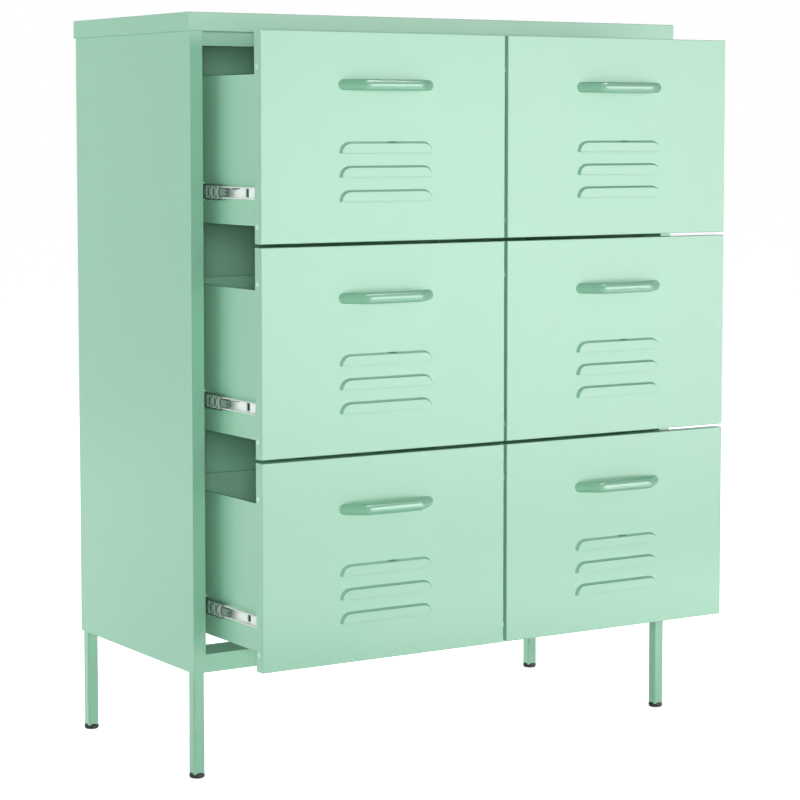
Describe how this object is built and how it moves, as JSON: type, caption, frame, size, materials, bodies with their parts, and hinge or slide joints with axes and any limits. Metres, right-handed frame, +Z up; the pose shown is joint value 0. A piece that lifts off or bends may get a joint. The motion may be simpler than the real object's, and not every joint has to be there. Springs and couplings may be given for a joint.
{
  "type": "drawer cabinet",
  "caption": "Low steel cabinet on square legs, with louvred drawers in two columns that slide out on ball-bearing runners.",
  "frame": {"origin": "middle of the footprint at floor level, with the drawers open as at rest", "axes": "+Z up; -Y towards the person who opens the drawers; +X to their right"},
  "size_m": [0.8, 0.5228, 1.015],
  "materials": {
    "mint_paint": "satin powder coat",
    "zinc_steel": "zinc plated",
    "ball_cage": "dark greased steel",
    "black_plastic": "matte",
    "plated_screw": "zinc plated"
  },
  "bodies": {
    "cabinet": {"lid": "mint_paint", "side_panel_left": "mint_paint", "side_panel_right": "mint_paint", "back_panel": "mint_paint", "centre_partition": "mint_paint", "top_front_rail": "mint_paint", "bottom_front_rail": "mint_paint", "bottom_rear_rail": "mint_paint", "leg_front_left": "mint_paint", "leg_front_right": "mint_paint", "leg_rear_left": "mint_paint", "leg_rear_right": "mint_paint", "foot_glides": "black_plastic", "leg_bolts": "plated_screw", "cabinet_members_top_left": "zinc_steel", "cabinet_members_top_right": "zinc_steel", "cabinet_members_middle_left": "zinc_steel", "cabinet_members_middle_right": "zinc_steel", "cabinet_members_bottom_left": "zinc_steel", "cabinet_members_bottom_right": "zinc_steel"},
    "drawer_top_left": {"front_top_left": "mint_paint", "box_top_left": "mint_paint", "handle_top_left": "mint_paint", "screws_top_left": "mint_paint", "drawer_members_top_left": "zinc_steel"},
    "cage_top_left": {"ball_cages_top_left": "ball_cage"},
    "drawer_top_right": {"front_top_right": "mint_paint", "box_top_right": "mint_paint", "handle_top_right": "mint_paint", "screws_top_right": "mint_paint", "drawer_members_top_right": "zinc_steel"},
    "cage_top_right": {"ball_cages_top_right": "ball_cage"},
    "drawer_middle_left": {"front_middle_left": "mint_paint", "box_middle_left": "mint_paint", "handle_middle_left": "mint_paint", "screws_middle_left": "mint_paint", "drawer_members_middle_left": "zinc_steel"},
    "cage_middle_left": {"ball_cages_middle_left": "ball_cage"},
    "drawer_middle_right": {"front_middle_right": "mint_paint", "box_middle_right": "mint_paint", "handle_middle_right": "mint_paint", "screws_middle_right": "mint_paint", "drawer_members_middle_right": "zinc_steel"},
    "cage_middle_right": {"ball_cages_middle_right": "ball_cage"},
    "drawer_bottom_left": {"front_bottom_left": "mint_paint", "box_bottom_left": "mint_paint", "handle_bottom_left": "mint_paint", "screws_bottom_left": "mint_paint", "drawer_members_bottom_left": "zinc_steel"},
    "cage_bottom_left": {"ball_cages_bottom_left": "ball_cage"},
    "drawer_bottom_right": {"front_bottom_right": "mint_paint", "box_bottom_right": "mint_paint", "handle_bottom_right": "mint_paint", "screws_bottom_right": "mint_paint", "drawer_members_bottom_right": "zinc_steel"},
    "cage_bottom_right": {"ball_cages_bottom_right": "ball_cage"}
  },
  "joints": [
    {"name": "drawer_top_left_slide", "type": "slide", "parent": "cabinet", "child": "drawer_top_left", "axis": [0, -1, 0], "range_m": [-0.1485, 0.0765]},
    {"name": "cage_top_left_slide", "type": "slide", "parent": "cabinet", "child": "cage_top_left", "axis": [0, -1, 0], "range_m": [-0.07425, 0.03825]},
    {"name": "drawer_top_right_slide", "type": "slide", "parent": "cabinet", "child": "drawer_top_right", "axis": [0, -1, 0], "range_m": [-0.1485, 0.0765]},
    {"name": "cage_top_right_slide", "type": "slide", "parent": "cabinet", "child": "cage_top_right", "axis": [0, -1, 0], "range_m": [-0.07425, 0.03825]},
    {"name": "drawer_middle_left_slide", "type": "slide", "parent": "cabinet", "child": "drawer_middle_left", "axis": [0, -1, 0], "range_m": [-0.1485, 0.0765]},
    {"name": "cage_middle_left_slide", "type": "slide", "parent": "cabinet", "child": "cage_middle_left", "axis": [0, -1, 0], "range_m": [-0.07425, 0.03825]},
    {"name": "drawer_middle_right_slide", "type": "slide", "parent": "cabinet", "child": "drawer_middle_right", "axis": [0, -1, 0], "range_m": [-0.1485, 0.0765]},
    {"name": "cage_middle_right_slide", "type": "slide", "parent": "cabinet", "child": "cage_middle_right", "axis": [0, -1, 0], "range_m": [-0.07425, 0.03825]},
    {"name": "drawer_bottom_left_slide", "type": "slide", "parent": "cabinet", "child": "drawer_bottom_left", "axis": [0, -1, 0], "range_m": [-0.1485, 0.0765]},
    {"name": "cage_bottom_left_slide", "type": "slide", "parent": "cabinet", "child": "cage_bottom_left", "axis": [0, -1, 0], "range_m": [-0.07425, 0.03825]},
    {"name": "drawer_bottom_right_slide", "type": "slide", "parent": "cabinet", "child": "drawer_bottom_right", "axis": [0, -1, 0], "range_m": [-0.1485, 0.0765]},
    {"name": "cage_bottom_right_slide", "type": "slide", "parent": "cabinet", "child": "cage_bottom_right", "axis": [0, -1, 0], "range_m": [-0.07425, 0.03825]}
  ],
  "couplings": [
    {"joint": "cage_top_left_slide", "follows": "drawer_top_left_slide", "ratio": 0.5},
    {"joint": "cage_top_right_slide", "follows": "drawer_top_right_slide", "ratio": 0.5},
    {"joint": "cage_middle_left_slide", "follows": "drawer_middle_left_slide", "ratio": 0.5},
    {"joint": "cage_middle_right_slide", "follows": "drawer_middle_right_slide", "ratio": 0.5},
    {"joint": "cage_bottom_left_slide", "follows": "drawer_bottom_left_slide", "ratio": 0.5},
    {"joint": "cage_bottom_right_slide", "follows": "drawer_bottom_right_slide", "ratio": 0.5}
  ]
}
